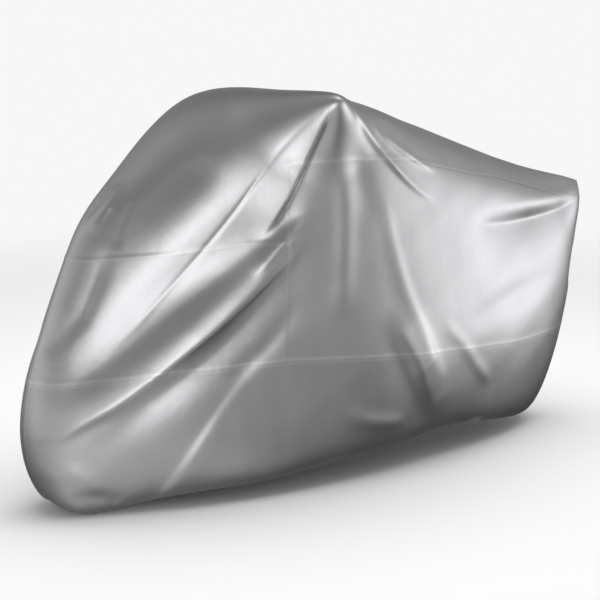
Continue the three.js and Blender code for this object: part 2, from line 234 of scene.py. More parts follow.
floor_finish, tree, shader = new_finish(
    "pale_floor", {"Base Color": (*FLOOR_TONE, 1), "Roughness": 0.9})
place = add_node(tree, "TexCoord").outputs["Object"]
far_off = add_node(tree, "VectorMath", {0: place}, operation="LENGTH").outputs["Value"]
thinning = add_node(
    tree, "MapRange",
    {"Value": far_off, "From Min": FLOOR_SOLID, "From Max": FLOOR_RADIUS, "To Min": 1, "To Max": 0},
    interpolation_type="SMOOTHSTEP")
tree.links.new(thinning.outputs["Result"], shader.inputs["Alpha"])
floor_mesh.materials.append(floor_finish)
print("floor radius, metres:", FLOOR_RADIUS)

# %% [markdown]
# The pale floor needs more light than the room gives. One wide lamp hangs over it, face down,
# which the coating doesn't mirror either. Its power comes from how bright its face should be
# next to a white wall.

# %% The lamp overhead
LAMP_HEIGHT = 5.0
LAMP_WIDTH = 5.0
LAMP_GLOW = 2.2

lamp_data = bpy.data.lights.new("overhead", "AREA")
lamp_data.shape = "SQUARE"
lamp_data.size = LAMP_WIDTH
lamp_data.energy = LAMP_GLOW * math.pi * LAMP_WIDTH**2
lamp = bpy.data.objects.new("overhead", lamp_data)
lamp.location.z = LAMP_HEIGHT
lamp.visible_glossy = False
bpy.context.scene.collection.objects.link(lamp)
print(f"overhead lamp: {lamp_data.energy:.0f} watts")

# %% [markdown]
# ## The draped form
#
# A stretched cloth has no corners of its own: it runs smoothly from one thing that holds it
# to the next. A B-spline surface does the same with a small net of control points. Eight
# levels run round the cover, from the hem's inner edge to the spine, and eleven sections
# stand across it, from nose to tail. Sizes are in millimetres, as a cutter writes them.

# %% Levels and sections
LEFT, RIGHT = -1, 1
LEVELS = [
    # name, where it crosses the nose seam, where it crosses the tail seam
    ("hem", -960, 880),
    ("roll", -1075, 955),
    ("calf", -1160, 1060),
    ("waist", -1110, 1130),
    ("hip", -1005, 1150),
    ("chest", -955, 1195),
    ("crest", -910, 1200),
    ("spine", -880, 1195),
]
SPINE_LEVEL = len(LEVELS) - 1

SECTIONS = [
    # at: share of the length; then (half width, height) on each level, hem to spine
    (0.000, (0, 60), (0, 10), (0, 210), (0, 450), (0, 700), (0, 820), (0, 870), (0, 890)),
    (0.022, (65, 20), (105, -75), (125, 205), (107, 450),
            (88, 700), (85, 840), (65, 925), (0, 945)),
    (0.100, (100, 25), (150, -10), (185, 130), (185, 440),
            (185, 710), (175, 890), (140, 1060), (0, 1120)),
    (0.200, (165, 55), (225, 10), (265, 150), (285, 440),
            (280, 730), (285, 1010), (230, 1245), (0, 1295)),
    (0.320, (205, 75), (295, 5), (320, 180), (325, 440),
            (335, 750), (340, 1080), (300, 1255), (0, 1260)),
    (0.420, (215, 85), (295, 35), (340, 190), (365, 440),
            (370, 760), (350, 1090), (300, 1230), (0, 1230)),
    (0.540, (215, 95), (300, 32), (340, 200), (385, 430),
            (345, 750), (300, 1020), (190, 1125), (0, 1165)),
    (0.700, (185, 130), (250, 78), (290, 210), (320, 430),
            (275, 720), (235, 930), (130, 1010), (0, 1055)),
    (0.820, (150, 110), (215, 20), (235, 180), (255, 420),
            (210, 680), (180, 845), (100, 920), (0, 965)),
    (0.955, (60, 95), (105, -25), (120, 170), (125, 410),
            (130, 640), (110, 790), (55, 865), (0, 905)),
    (1.000, (0, 95), (0, 10), (0, 180), (0, 410), (0, 630), (0, 785), (0, 845), (0, 865)),
]
STATIONS = np.array([section[0] for section in SECTIONS])

# %% [markdown]
# The two bar ends push the form out to rounded peaks. The bars are turned a little, so the
# peaks aren't alike.

# %% Bar ends
BAR_ENDS = [
    # the middle of what is pulled, how far it goes, and how wide the pull reaches
    {"at": (-240, -300, 1225), "pull": (0, -140, 58), "reach": 260},
    {"at": (-205, 300, 1215), "pull": (10, 80, 35), "reach": 260},
]
print(len(SECTIONS), "sections,", len(LEVELS), "levels,", len(BAR_ENDS), "bar ends")

# %% [markdown]
# The net is mirrored past the nose, the tail and the spine, so that both halves meet there
# without a crease. Below the hem it simply runs on.

# %% The surface through the net
def control_net():
    net = np.zeros((len(SECTIONS), len(LEVELS), 3))
    for i, (at, *places) in enumerate(SECTIONS):
        for j, ((_, front, rear), (half, height)) in enumerate(zip(LEVELS, places)):
            net[i, j] = (front + (rear - front) * at, half, height)
    other_side = np.array([1, -1, 1])
    net = np.concatenate([net[1:2] * other_side, net, net[-2:-1] * other_side], axis=0)
    below = 2 * net[:, :1] - net[:, 1:2]
    above = net[:, -2:-1] * other_side
    return np.concatenate([below, net, above], axis=1)


NET = control_net()


def spline_weights(f):
    """What four neighbouring net points count for, at a share f of the way between two."""
    g = 1 - f
    return np.stack([g**3 / 6, (3 * f**3 - 6 * f**2 + 4) / 6,
                     (-3 * f**3 + 3 * f**2 + 3 * f + 1) / 6, f**3 / 6], axis=-1)


def smooth_point(along, level, side):
    """Places on the form: along 0 to 1, level 0 to 7, side LEFT or RIGHT."""
    u = np.interp(along, STATIONS, np.arange(len(STATIONS)))
    i = np.clip(np.floor(u).astype(int), 0, len(STATIONS) - 2)
    j = np.clip(np.floor(level).astype(int), 0, SPINE_LEVEL - 1)
    across, up = spline_weights(u - i), spline_weights(level - j)
    place = np.zeros(np.shape(u) + (3,))
    for a in range(4):
        for b in range(4):
            place += (across[..., a] * up[..., b])[..., None] * NET[i + a, j + b]
    return place * np.array([1, side, 1])


# %% The form with the bar ends pushed into it
def form_point(along, level, side):
    place = smooth_point(along, level, side)
    moved = place.copy()
    for bar in BAR_ENDS:
        distance = np.linalg.norm(place - np.array(bar["at"]), axis=-1)
        strength = np.clip(1 - distance / bar["reach"], 0, 1) ** 2
        moved += strength[..., None] * np.array(bar["pull"])
    return moved


def form_normal(along, level, side, step=0.004):
    """Outward normals. On the nose, tail and spine lines both sides get the same one."""
    a = np.clip(along, step, 1 - step)
    l = np.clip(level, step, SPINE_LEVEL - step)
    ahead = form_point(a + step, l, side) - form_point(a - step, l, side)
    upward = form_point(a, l + step, side) - form_point(a, l - step, side)
    normal = np.cross(ahead, upward) * -side
    on_middle = (along <= 0) | (along >= 1) | (level >= SPINE_LEVEL)
    normal[..., 1] = np.where(on_middle, 0, normal[..., 1])
    return normal / np.linalg.norm(normal, axis=-1, keepdims=True)


for side in (LEFT, RIGHT):
    across = form_point(np.full(90, 0.3), np.linspace(0, SPINE_LEVEL, 90), side)[:, 1]
    print("half width near the bar end, mm:", round(float(np.abs(across).max())))

# %% [markdown]
# ## Folds, one by one
#
# A cloth simulation would drape well, but its folds would fall where they please. Here each
# main fold is laid one by one, as a dresser would with two fingers: a crest line on the cloth,
# how far the fold reaches on its left and right hand, and how high it stands at its start,
# middle and end. Uneven reaches make an overhang, and a low power of the distance makes a
# crease sharp instead of soft. Lines are given as places [along, level] on the cloth.

# %% Fold lines on the left-hand side
# start, middle and end of the line, reach left, reach right, rise (start, middle, end), power
LEFT_FOLDS = {
    "bar edge": ((0.32, 5.76), (0.295, 4.96), (0.243, 4.26), (5, 9), (72, 80), (0, 13, 4), 1.4),
    "bar hollow": ((0.316, 5.7), (0.3, 4.94), (0.262, 4.27), (38, 45), (5, 9), (-6, -5, -4), 1.7),
    "band crease": ((0.325, 5.8), (0.208, 4.78), (0.066, 3.1),
                    (6, 7), (6, 7), (-1.5, -2, -1), 1.5),
    "long trough": ((0.318, 4.6), (0.19, 3.98), (0.004, 2.62),
                    (46, 62), (80, 102), (-16, -16, -8), 2),
    "thin ridge": ((0.337, 4.45), (0.293, 4.3), (0.237, 3.89), (16, 18), (22, 27), (1, 9, 3), 2),
    "big fold": ((0.328, 4.48), (0.203, 3.5), (0.022, 2.06),
                 (36, 53), (100, 130), (7, 20, 11), 2.1),
    "overhang": ((0.323, 4.23), (0.18, 3.25), (0.004, 2.08), (7, 16), (50, 70), (6, 5, 13), 1.4),
    "under shade": ((0.298, 3.93), (0.19, 3.03), (0.04, 2.3),
                    (50, 60), (20, 24), (-2, -4, -6), 1.4),
    "low hollow": ((0.323, 3.68), (0.295, 3.22), (0.228, 2.8), 30, 30, (0, -4, -4), 2),
    "hem ridge": ((0.313, 3.29), (0.236, 2.45), (0.128, 0.5),
                  (50, 60), (14, 26), (-1, 1, 6), 1.8),
    "hem foot": ((0.303, 3.2), (0.216, 2.35), (0.108, 0.5),
                 (12, 18), (50, 60), (-1, -2, -3), 1.8),
    "post ridge": ((0.36, 5), (0.377, 4.2), (0.394, 3.3), 38, 38, (4, 6, 3), 2),
    "seat ridge": ((0.43, 4.75), (0.5, 3.6), (0.63, 2.25), (23, 24), (30, 34), (2, 4, 7), 1.9),
    "seat ridge low": ((0.58, 3.2), (0.67, 2.7), (0.755, 2), 23, 25, (2, 3, 3), 1.9),
    "exhaust fold": ((0.47, 3.46), (0.567, 2.52), (0.667, 1.4),
                     (70, 80), (40, 45), (6, 16, 4), 2),
    "tank crease": ((0.358, 5.75), (0.45, 4.95), (0.565, 4.5), (22, 28), (8, 12), (5, 9, 1), 1.6),
    "tank crease 2": ((0.408, 5.53), (0.475, 5.17), (0.555, 4.98),
                      (20, 24), (7, 10), (4, 8, 1), 1.6),
    "tail pocket": ((0.625, 4.37), (0.768, 4.46), (0.985, 5.3),
                    (36, 48), (88, 115), (-6, -25, -18), 1.4),
    "tail roll": ((0.69, 4.6), (0.802, 4.87), (0.97, 5.66), 30, 28, (1, 4, 3), 2),
    "tail edge": ((0.984, 4.1), (0.976, 3.75), (0.974, 3.3), 36, 36, (-3, -10, -3), 2),
    "band hollow": ((0.266, 5.19), (0.192, 4.5), (0.049, 3.24), 70, 70, (-2, -7, -3), 2),
    "panel hollow": ((0.175, 5.52), (0.067, 5.23), (0.038, 4.2), 60, 60, (-10, -9, 3), 2),
    "low swell": ((0.22, 3.05), (0.16, 2.61), (0.063, 2.26), 80, 80, (1, 6, 4), 2),
    "hem streak": ((0.41, 2.3), (0.48, 1.95), (0.57, 1.7), 30, 30, (0, 4, 3), 2),
    "toe fold": ((0.005, 1.62), (0.043, 1.78), (0.082, 1.41), (30, 32), (34, 38), (1, 4, 3), 1.8),
    "toe hollow": ((0.024, 1.2), (0.064, 1.44), (0.098, 1.1),
                   (24, 26), (24, 26), (-1, -4, -4), 2),
    "hem notch": ((0.762, 1.3), (0.767, 0.85), (0.772, 0.4), 26, 26, (-8, -14, -10), 2),
    "tail hollow": ((0.64, 3), (0.763, 3.35), (0.916, 3.7), 50, 50, (-3, -7, -1), 2),
    "apex hollow": ((0.345, 5.72), (0.391, 4.84), (0.42, 4.18), 45, 45, (3, -8, -1), 2),
    "front step": ((0.053, 6.7), (0.021, 5.9), (0.02, 5.05), (14, 12), (50, 40), (2, 11, 4), 1.5),
    "front crease": ((0.061, 5.7), (0.05, 5.16), (0.055, 4.6),
                     (7, 8), (40, 45), (-2, -4, -2), 1.6),
    "front hollow": ((0.037, 4.92), (0.026, 3.8), (0.002, 3.06),
                     (26, 20), (38, 42), (-6, -12, -5), 1.8),
}
print(len(LEFT_FOLDS), "folds on the left-hand side")

# %% [markdown]
# The other side is cut the same way, but no cloth falls twice alike: its folds are of the
# same kind, a little shifted, and fewer.

# %% Fold lines on the right-hand side
RIGHT_FOLDS = {
    "bar edge": ((0.335, 5.8), (0.3, 5.05), (0.245, 4.25), (70, 75), (7, 10), (3, 9, 5), 1.4),
    "band hollow": ((0.275, 5.2), (0.2, 4.5), (0.06, 3.3), 70, 70, (0, -8, -6), 2),
    "trough": ((0.3, 4.5), (0.185, 3.85), (0.03, 2.72), (85, 100), (50, 66), (-7, -12, -6), 2),
    "big fold": ((0.335, 4.45), (0.205, 3.42), (0.02, 2.15),
                 (95, 120), (42, 54), (6, 19, 13), 2.1),
    "overhang": ((0.33, 4.3), (0.2, 3.35), (0.02, 2.14), (50, 66), (9, 20), (3, 5, 4), 1.4),
    "under shade": ((0.3, 3.95), (0.197, 3.1), (0.06, 2.42),
                    (21, 25), (50, 60), (-2, -5, -3), 1.4),
    "hem ridge": ((0.33, 3.3), (0.26, 2.4), (0.19, 1.3), (14, 20), (50, 60), (1, 4, 5), 1.8),
    "post trough": ((0.385, 5), (0.4, 4.15), (0.42, 3.3), 36, 36, (-3, -4, -2), 2),
    "seat ridge": ((0.45, 4.8), (0.54, 3.7), (0.69, 2.5), (27, 30), (23, 26), (2, 6, 9), 1.9),
    "exhaust": ((0.52, 3.3), (0.6, 2.4), (0.69, 1.5), (40, 44), (70, 80), (4, 12, 6), 2),
    "pocket": ((0.66, 4.25), (0.79, 4.35), (0.955, 5.05),
               (60, 95), (30, 50), (-3, -16, -11), 1.4),
    "crease": ((0.38, 5.7), (0.475, 4.98), (0.57, 4.6), (9, 12), (22, 28), (3, 9, 2), 1.6),
    "front": ((0.04, 4.85), (0.034, 3.8), (0.006, 3.1), (40, 45), (28, 22), (-3, -8, -4), 1.8),
    "toe": ((0.015, 1.7), (0.06, 1.65), (0.11, 1.3), 32, 34, (1, 5, 3), 1.8),
}
FOLDS = [(LEFT, *fold) for fold in LEFT_FOLDS.values()]
FOLDS += [(RIGHT, *fold) for fold in RIGHT_FOLDS.values()]
print(len(FOLDS), "folds in all")

# %% [markdown]
# A fold acts on every point near its crest line, on whichever panel that point lies, so the
# folds run on unbroken over the seams.

# %% How far a point lies from a line
def crest_line(start, middle, end, side, count=18):
    """A smooth line through three places on the cloth."""
    s = np.linspace(0, 1, count)[:, None]
    start, middle, end = (np.array(place) for place in (start, middle, end))
    path = (1 - s) * (1 - 2 * s) * start + 4 * s * (1 - s) * middle + s * (2 * s - 1) * end
    return form_point(path[:, 0], path[:, 1], side)


def line_length(line):
    return np.linalg.norm(np.diff(line, axis=0), axis=-1).sum()


def nearest_on_line(line, place, normal, reach):
    """Distance, share along the line and left-hand side, for points within reach of it."""
    low, high = line.min(axis=0) - reach, line.max(axis=0) + reach
    near = np.flatnonzero(((place > low) & (place < high)).all(axis=-1))
    p, n = place[near], normal[near]
    best = np.full(len(near), np.inf)
    share = np.zeros(len(near))
    left = np.zeros(len(near), bool)
    lengths = np.linalg.norm(np.diff(line, axis=0), axis=-1)
    travelled = np.concatenate([[0], np.cumsum(lengths)])
    for k, (start, step) in enumerate(zip(line[:-1], np.diff(line, axis=0))):
        f = np.clip((p - start) @ step / (step @ step), 0, 1)
        away = p - start - f[:, None] * step
        distance = np.linalg.norm(away, axis=-1)
        closer = distance < best
        best[closer] = distance[closer]
        share[closer] = (travelled[k] + f[closer] * lengths[k]) / travelled[-1]
        hand = np.einsum("ij,ij->i", np.cross(n[closer], step), away[closer])
        left[closer] = hand > 0
    return near, best, share, left, travelled[-1]


for name in ("bar edge", "big fold"):
    start, middle, end = LEFT_FOLDS[name][:3]
    print(name, "is", round(line_length(crest_line(start, middle, end, LEFT))), "mm long")

# %% How high the folds stand
FOLD_TAPER = 0.22  # the share of its line over which a fold fades in, and out again
FOLD_RIM = 3.2  # where a fold has died out, counted in its own reach


def between(value, share):
    """A single number, or (start, end), at a share along a line."""
    start, end = value if isinstance(value, tuple) else (value, value)
    return start + (end - start) * share


def smooth_step(value):
    """0 up to 0, 1 from 1 on, and a soft S between them."""
    t = np.clip(value, 0, 1)
    return t * t * (3 - 2 * t)


def fold_height(place, normal):
    height = np.zeros(len(place))
    for side, start, middle, end, reach_left, reach_right, rise, power in FOLDS:
        line = crest_line(start, middle, end, side)
        widest = FOLD_RIM * max(np.max(reach_left), np.max(reach_right))
        near, distance, share, left, _ = nearest_on_line(line, place, normal, widest)
        reach = np.where(left, between(reach_left, share), between(reach_right, share))
        crest = np.interp(share, (0, 0.5, 1), rise)
        crest *= smooth_step(np.minimum(share, 1 - share) / FOLD_TAPER)
        height[near] += crest * np.exp(-((distance / reach) ** power))
    return height


# %% [markdown]
# ## Seams
#
# Three seams run along the cover. The skirt seam goes all round. Above it the front flank
# seam and the higher shoulder seam meet at an upright seam below the bar end. Each is given
# as a height at a few stations, and the level that reaches that height is found by looking
# it up on the form.

# %% Seam heights
# (stations, heights in millimetres)
SKIRT_SEAM = ((0, 0.15, 0.33, 0.8, 1), (407, 437, 442, 358, 350))
FLANK_SEAM = ((0, 0.13, 0.25, 0.5, 1), (768, 795, 818, 800, 700))
SHOULDER_SEAM = ((0, 0.2, 0.33, 0.47, 0.61, 0.8, 1), (850, 980, 1063, 1027, 976, 890, 800))
UPRIGHT_SEAM_AT = 0.32
LOWEST_SEAM_LEVEL = 1.3
GUIDE_STATIONS = np.linspace(0, 1, 161)


def level_at_height(station, height):
    """The level at which the form reaches a height, at one station."""
    levels = np.linspace(LOWEST_SEAM_LEVEL, SPINE_LEVEL, 120)
    heights = smooth_point(np.full(levels.size, station), levels, RIGHT)[:, 2]
    return np.interp(height, np.maximum.accumulate(heights), levels)


def guide_levels(station):
    """Levels of the hem, the three seams and the spine, at one station."""
    heights = [np.interp(station, *seam) for seam in (SKIRT_SEAM, FLANK_SEAM, SHOULDER_SEAM)]
    return [0.0] + [level_at_height(station, height) for height in heights] + [SPINE_LEVEL]


GUIDE_LEVELS = np.array([guide_levels(station) for station in GUIDE_STATIONS])
print("seam levels at mid length:", GUIDE_LEVELS[len(GUIDE_STATIONS) // 2].round(2))

# %% [markdown]
# From here on a place on the cloth is a station and a band. Bands count the strips between
# seams, so a whole number is a seam, and the panels can be cut by whole numbers. The columns
# of cloth lean a little, so that they stand plumb where the levels run out over the wheels.

# %% Bands between the seams
HEM, SKIRT, FLANK, SHOULDER, SPINE = range(5)
PLUMB_SLIDE = 0.03
WAIST_LEVEL = 3


def cloth_place(station, band):
    """Along and level of the cloth at a station and a band between seams."""
    seams = [np.interp(station, GUIDE_STATIONS, levels) for levels in GUIDE_LEVELS.T]
    flat = np.stack(seams).reshape(SPINE + 1, -1)
    lower = np.clip(np.floor(band).astype(int), 0, SPINE - 1)
    index = np.arange(station.size).reshape(station.shape)
    low, high = flat[lower, index], flat[lower + 1, index]
    level = low + (high - low) * (band - lower)
    slide = PLUMB_SLIDE * (level - WAIST_LEVEL) * np.sin(np.pi * station)
    return np.clip(station - slide, 0, 1), level


def seam_line(side, station, band):
    """Places on the form along a line of stations and bands."""
    station, band = np.broadcast_arrays(np.asarray(station, float), np.asarray(band, float))
    along, level = cloth_place(station, band)
    return form_point(along, level, side)


girth = line_length(seam_line(RIGHT, UPRIGHT_SEAM_AT, np.linspace(HEM, SPINE, 90)))
print("hem to spine at the upright seam, mm:", round(float(girth)))

# %% [markdown]
# A sewn seam is never quite flat. The feed of the machine shortens the cloth a little, so it
# puckers in small waves that die out a finger's width away. The upper panel is lapped over the
# lower one and stitched down twice, which leaves a low step that sheds rain.
#
# The mark is a highlight painted into the colour along each seam, and says how plainly each seam
# shows: the skirt seam most, and the upright seam and the tail end of the shoulder seam least.

# %% Seam lines on the form
SEAM_STEPS = 110
UPRIGHT_STEPS = 30
SHOULDER_FADES_AT = 0.56


def side_seams(side):
    """Lines on the form, and how strongly the painted highlight shows on each."""
    ahead = np.linspace(0, UPRIGHT_SEAM_AT, SEAM_STEPS // 2)
    behind = np.linspace(UPRIGHT_SEAM_AT, SHOULDER_FADES_AT, SEAM_STEPS // 2)
    fading = np.linspace(SHOULDER_FADES_AT, 1, SEAM_STEPS // 2)
    climb = np.linspace(SKIRT, SHOULDER, UPRIGHT_STEPS)
    # the number after each line is the strength of its painted highlight
    return [
        (seam_line(side, np.linspace(0, 1, SEAM_STEPS), SKIRT), 0.6),
        (seam_line(side, ahead, FLANK), 0.25),
        (seam_line(side, behind, SHOULDER), 0.45),
        (seam_line(side, fading, SHOULDER), 0.15),
        (seam_line(side, UPRIGHT_SEAM_AT, climb), 0.18),
    ]


SEAM_LINES = side_seams(LEFT) + side_seams(RIGHT) + [
    (seam_line(RIGHT, 0.0, np.linspace(HEM, FLANK, UPRIGHT_STEPS)), 0.2),
    (seam_line(RIGHT, 1.0, np.linspace(HEM, SHOULDER, UPRIGHT_STEPS)), 0.2),
]
print(len(SEAM_LINES), "seam lines")

# %% Puckers, and the painted highlight along the seams
PUCKER_HEIGHT = 0.1
PUCKER_REACH = 18
PUCKER_WAVE = 31
PUCKER_DRIFT, DRIFT_REACH = 97, 1.9  # the waves fall out of step, and into it again
PUCKER_SWELL, SWELL_MEAN, SWELL_SPREAD = 230, 0.65, 0.35  # and they grow and shrink
SEAM_FIELD = 60
# how wide the painted highlight along a seam is, in millimetres
SEAM_HIGHLIGHT_WIDTH = 2.6


def seam_relief(place, normal):
    """Height of the puckers in millimetres, and how strongly a seam's painted highlight marks each
    place.
    """
    height = np.zeros(len(place))
    highlight_mask = np.zeros(len(place))
    for number, (line, strength) in enumerate(SEAM_LINES):
        near, distance, share, _, length = nearest_on_line(line, place, normal, SEAM_FIELD)
        run = share * length
        drift = DRIFT_REACH * np.sin(run / PUCKER_DRIFT + number)
        wave = np.sin(2 * np.pi * run / PUCKER_WAVE + drift)
        wave *= SWELL_MEAN + SWELL_SPREAD * np.sin(run / PUCKER_SWELL + 2 * number)
        height[near] += PUCKER_HEIGHT * wave * np.exp(-((distance / PUCKER_REACH) ** 2))
        # painted highlight: strongest on the seam line, gone a few millimetres off it
        faded = strength * np.exp(-((distance / SEAM_HIGHLIGHT_WIDTH) ** 2))
        highlight_mask[near] = np.maximum(highlight_mask[near], faded)
    return height, highlight_mask


# %% [markdown]
# The hem holds a flat elastic. Where it draws the cloth in, under the cover, the edge ripples
# finely; on the outside only a few long waves are left. And no cloth is quite smooth between
# its folds: a few slow waves, half a millimetre high at most, keep the reflections alive.

# %% Gathers and slow waves
GATHER_HEIGHT = 7.0
GATHER_WAVE = 0.0125
GATHER_LEVEL = 1.5
GATHER_SHIFT, SHIFT_WAVES = 0.004, 50
# how far each wobble pulls the ripples out of step, how fast it turns, and its start
GATHER_WOBBLES = ((2.2, 41, 0), (1.3, 93, 1))
SLOW_WAVES = [
    # direction of travel, wave length in millimetres, height, start
    ((0.8, 0.3, 0.5), 260, 0.5, 0.3),
    ((0.4, 0.6, -0.7), 170, 0.25, 1.7),
    ((-0.5, 0.2, 0.85), 118, 0.12, 4.1),
    ((0.9, -0.4, 0.1), 83, 0.06, 2.2),
]


def gather_height(station, level, side):
    """Ripples that die out above the hem. Those of the right-hand side are a little shifted."""
    if side == RIGHT:
        station = station + GATHER_SHIFT * np.sin(SHIFT_WAVES * station)
    edge = np.clip(1 - level / GATHER_LEVEL, 0, 1) ** 2
    wobble = sum(pull * np.sin(station * turn + start) for pull, turn, start in GATHER_WOBBLES)
    return GATHER_HEIGHT * edge * np.sin(2 * np.pi * station / GATHER_WAVE + wobble)


def slow_wave_height(place):
    height = np.zeros(len(place))
    for travel, length, rise, start in SLOW_WAVES:
        travel = np.array(travel) / np.linalg.norm(travel)
        height += rise * np.sin(2 * np.pi * (place @ travel) / length + start)
    return height


# %% Everything together
def drape(station, band, side):
    """Cloth places in millimetres, outward normals, and the mask of the seams' painted highlight.
    """
    shape = np.shape(station)
    station, band = np.ravel(station), np.ravel(band)
    along, level = cloth_place(station, band)
    place = form_point(along, level, side)
    normal = form_normal(along, level, side)
    pucker, seam_highlight_mask = seam_relief(place, normal)
    rise = fold_height(place, normal) + pucker + slow_wave_height(place)
    rise += gather_height(station, level, side)
    place = place + rise[:, None] * normal
    return place.reshape(shape + (3,)), normal.reshape(shape + (3,)), seam_highlight_mask.reshape(shape)


mid_spine = drape(np.array([0.5]), np.array([float(SPINE)]), LEFT)[0]
print("height of the spine at mid length, mm:", round(float(mid_spine[0, 2])))

# %% [markdown]
# ## From the draped form to the real place
#
# The form is worked out in its own millimetres. Before anything is cut, its whole box is
# measured once and fitted to the box of the solid cover, so that everything lands where the
# solids are.

# %% Fit to the frame
SAMPLE_STATIONS, SAMPLE_BANDS = np.meshgrid(
    np.linspace(0, 1, 180), np.linspace(HEM, SPINE, 110), indexing="ij")
samples = np.concatenate([
    drape(SAMPLE_STATIONS, SAMPLE_BANDS, side)[0].reshape(-1, 3) for side in (LEFT, RIGHT)])
FORM_LOW, FORM_HIGH = samples.min(axis=0), samples.max(axis=0)
FIT = BOX_SIZE / (FORM_HIGH - FORM_LOW)


def to_frame(place):
    return (place - FORM_LOW) * FIT + BOX_LOW


print("form, mm:", (FORM_HIGH - FORM_LOW).round(1))
print("metres in the frame to a thousand of them:", (1000 * FIT).round(4))

# %% [markdown]
# ## Cutting the panels
#
# Every panel is a grid of small quads between its seams: columns run along the cover, rows
# run up it. Where a panel laps over its neighbour it gets a few more rows past the seam, and
# those lie a little higher than the cloth beneath.

# %% Rows and columns
COLUMNS = 340
SKIRT_ROWS, FLANK_ROWS, SHOULDER_ROWS, CROWN_ROWS = 76, 52, 36, 50
CLOTH_LENGTH = 2250  # millimetres from station 0 to station 1
LAP_WIDTH = 11.0
LAP_ROWS = 3
LAP_SHARES = np.linspace(1, 0, LAP_ROWS + 1)[:-1]
POINT_REACH = 0.14  # the share of the length over which the roof's rows close up to a point

BAND_ARCS = np.zeros((len(GUIDE_STATIONS), SPINE))
for band in range(SPINE):
    climb = np.linspace(band, band + 1, 30)
    for number, station in enumerate(GUIDE_STATIONS):
        BAND_ARCS[number, band] = line_length(seam_line(RIGHT, station, climb))
print("widest strips between seams, mm:", BAND_ARCS.max(axis=0).round())


def below_seam(station, seam, distance):
    """The band value that lies a distance in millimetres below a seam."""
    return seam - distance / np.interp(station, GUIDE_STATIONS, BAND_ARCS[:, seam - 1])


def crown_band(station, share):
    """Rows of the roof, spread out where the spine ends in a point."""
    spread = 0.5 + 0.5 * smooth_step(np.minimum(station, 1 - station) / POINT_REACH)
    return SPINE - (1 - share) ** spread


def rows_between(station, low, high, count, lapped=False):
    """Bands for each station, evenly from low to high, with lap rows below if asked."""
    share = np.linspace(0, 1, count + 1)[None, :]
    s = station[:, None]
    body = crown_band(s, share) if low == SHOULDER else low + (high - low) * share + 0 * s
    if not lapped:
        return body
    return np.concatenate([below_seam(s, low, LAP_WIDTH * LAP_SHARES[None, :]), body], axis=1)


def columns_between(low, high, lapped=False):
    """Stations from low to high, with lap columns ahead of low if asked."""
    count = max(2, round(COLUMNS * (high - low)))
    body = np.linspace(low, high, count + 1)
    if not lapped:
        return body
    return np.concatenate([low - LAP_WIDTH / CLOTH_LENGTH * LAP_SHARES, body])


# %% A block of cloth
CLOTH_WIDTH_SCALE = 2.45  # metres of cloth from station 0 to station 1
CLOTH_HEIGHT_SCALE = 0.26  # metres of cloth from one level to the next
LAP_RAMP = 12.0


def ramp_up(distance_inside):
    """0 well inside the panel, 1 at its lapped edge and beyond."""
    return smooth_step(1 - distance_inside / LAP_RAMP)


def cloth_block(side, stations, bands, lap_at=None, lift_low=0.0, lift_ahead=0.0):
    """Places, quads, cloth coordinates and painted seam highlight masks of one grid of cloth."""
    station = np.broadcast_to(stations[:, None], bands.shape)
    place, normal, seam_highlight_mask = drape(station, bands, side)
    lift = np.zeros(bands.shape)
    if lap_at is not None:
        arc = np.interp(station, GUIDE_STATIONS, BAND_ARCS[:, lap_at])
        lift += lift_low * ramp_up((bands - lap_at) * arc)
    if lift_ahead:
        lift += lift_ahead * ramp_up((station - UPRIGHT_SEAM_AT) * CLOTH_LENGTH)
    place = to_frame(place + lift[..., None] * normal)
    index = np.arange(bands.size).reshape(bands.shape)
    corners = [index[:-1, :-1], index[1:, :-1], index[1:, 1:], index[:-1, 1:]]
    quads = np.stack(corners if side == LEFT else corners[::-1], axis=-1)
    _, level = cloth_place(station, bands)
    cloth = np.stack([station * CLOTH_WIDTH_SCALE, level * CLOTH_HEIGHT_SCALE], axis=-1)
    return place.reshape(-1, 3), quads.reshape(-1, 4), cloth.reshape(-1, 2), seam_highlight_mask.ravel()


# %% [markdown]
# A panel's blocks share their edges, so they are joined into one mesh and welded there. The
# seam marks, which paint a highlight along the seams, travel with the mesh as an attribute, and
# the cloth coordinates as a UV map: the material needs both. A Solidify modifier then gives the
# sheet its thickness. The outer face stays where it is, and the inner one lies a thickness inside.

# %% Sewing blocks into a panel
WELD_DISTANCE = 0.00004
CLOTH_THICKNESS = 0.0003
CUT_EDGE_ANGLE = math.radians(50)


def smooth_mesh(name, places, faces):
    """A mesh object in the scene, shaded smooth."""
    mesh = bpy.data.meshes.new(name)
    mesh.from_pydata(places, [], faces)
    mesh.polygons.foreach_set("use_smooth", np.ones(len(mesh.polygons), bool))
    piece = bpy.data.objects.new(name, mesh)
    bpy.context.scene.collection.objects.link(piece)
    return piece


def sew(name, blocks):
    places, quads, cloths, highlight_masks = zip(*blocks)
    offsets = np.cumsum([0] + [len(place) for place in places[:-1]])
    faces = np.concatenate([quad + offset for quad, offset in zip(quads, offsets)])
    panel = smooth_mesh(name, np.concatenate(places).tolist(), faces.tolist())
    mesh = panel.data
    # The seam attribute carries the mask of the painted highlight along the seams.
    seam = mesh.attributes.new("seam", "FLOAT", "POINT")
    seam.data.foreach_set("value", np.concatenate(highlight_masks).astype(np.float32))
    layer = mesh.uv_layers.new(name="cloth")
    corners = np.concatenate(cloths)[faces.ravel()]
    layer.data.foreach_set("uv", corners.astype(np.float32).ravel())
    work = bmesh.new()
    work.from_mesh(mesh)
    bmesh.ops.remove_doubles(work, verts=work.verts, dist=WELD_DISTANCE)
    work.to_mesh(mesh)
    work.free()
    return panel


